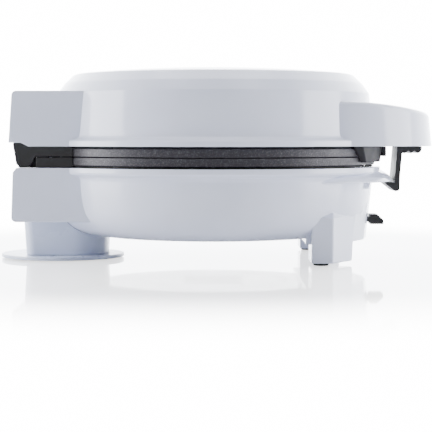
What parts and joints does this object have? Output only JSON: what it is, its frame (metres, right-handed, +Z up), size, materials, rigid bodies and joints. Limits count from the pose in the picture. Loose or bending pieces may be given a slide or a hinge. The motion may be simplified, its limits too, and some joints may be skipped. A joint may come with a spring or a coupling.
{
  "type": "donut maker",
  "caption": "Round clamshell mini donut maker: hinged lid over a base, ring-cup plates, visor handle with latch, two front legs and a cord-wrap post.",
  "frame": {"origin": "on the table, under the middle of the object's length and width", "axes": "+X from the hinge towards the handle, +Y towards the side away from the switch's rest position, +Z up"},
  "size_m": [0.2588, 0.2, 0.1136],
  "materials": {
    "glossy_white_casing": "moulded, glossy white",
    "satin_white_post": "moulded, cool white, soft gloss",
    "matte_black_fittings": "black, matte",
    "coated_cast_aluminium": "cast, dark grey non-stick coat",
    "dark_grey_guard": "dark grey, soft gloss",
    "black_seal": "black, matte",
    "black_rubber": "black, matte",
    "blackened_steel": "black oxide",
    "bright_steel": "zinc plated",
    "heater_sheath": "oxidised steel sheath",
    "bright_reflector": "bright pressed sheet",
    "phenolic_block": "brown phenolic",
    "copper_lead": "insulated lead",
    "red_lens": "clear red lens",
    "green_lens": "clear green lens",
    "lamp_glass": "small clear bulb"
  },
  "bodies": {
    "base": {"base_shell": "glossy_white_casing", "service_cover": "glossy_white_casing", "cord_post": "satin_white_post", "cord_disc": "satin_white_post", "left_hinge_bracket": "matte_black_fittings", "right_hinge_bracket": "matte_black_fittings", "lower_plate": "coated_cast_aluminium", "base_trim_ring": "black_seal", "cord_gland": "black_rubber", "left_foot": "black_rubber", "right_foot": "black_rubber", "rear_pad_1": "black_rubber", "rear_pad_2": "black_rubber", "rear_pad_3": "black_rubber", "left_hinge_pin": "blackened_steel", "right_hinge_pin": "blackened_steel", "left_bracket_screw": "bright_steel", "right_bracket_screw": "bright_steel", "disc_screw_1": "bright_steel", "disc_screw_2": "bright_steel", "lower_plate_screw_1": "bright_steel", "lower_plate_screw_2": "bright_steel", "lower_plate_screw_3": "bright_steel", "lower_heater": "heater_sheath", "lower_reflector": "bright_reflector", "thermostat": "bright_reflector", "thermal_fuse": "bright_reflector", "terminal_block": "phenolic_block", "switch_body": "phenolic_block", "switch_lead": "copper_lead"},
    "lid": {"lid_shell": "glossy_white_casing", "lid_trim_ring": "black_seal", "upper_plate": "coated_cast_aluminium", "upper_heater": "heater_sheath", "upper_reflector": "bright_reflector", "handle_cover": "glossy_white_casing", "front_guard": "dark_grey_guard", "latch_pin": "bright_steel", "latch_spring": "bright_steel", "power_lens": "red_lens", "ready_lens": "green_lens", "power_lamp": "lamp_glass", "ready_lamp": "lamp_glass", "left_hinge_arm": "matte_black_fittings", "right_hinge_arm": "matte_black_fittings", "left_arm_screw": "bright_steel", "left_handle_screw": "bright_steel", "right_arm_screw": "bright_steel", "right_handle_screw": "bright_steel", "upper_plate_screw_1": "bright_steel", "upper_plate_screw_2": "bright_steel", "upper_plate_screw_3": "bright_steel"},
    "latch": {"latch": "matte_black_fittings"},
    "switch": {"switch_lever": "matte_black_fittings"}
  },
  "joints": [
    {"name": "lid_hinge", "type": "hinge", "parent": "base", "child": "lid", "pos_m": [-0.1086, 0, 0.06125], "axis": [0, -1, 0], "range_deg": [0, 95]},
    {"name": "latch_pivot", "type": "hinge", "parent": "lid", "child": "latch", "pos_m": [0.1098, 0, 0.0696], "axis": [0, -1, 0], "range_deg": [0, 25], "stiffness_Nm_per_rad": 0.02, "springref_deg": -22.92},
    {"name": "switch_slide", "type": "slide", "parent": "base", "child": "switch", "axis": [0, 1, 0], "range_m": [0, 0.016]}
  ]
}
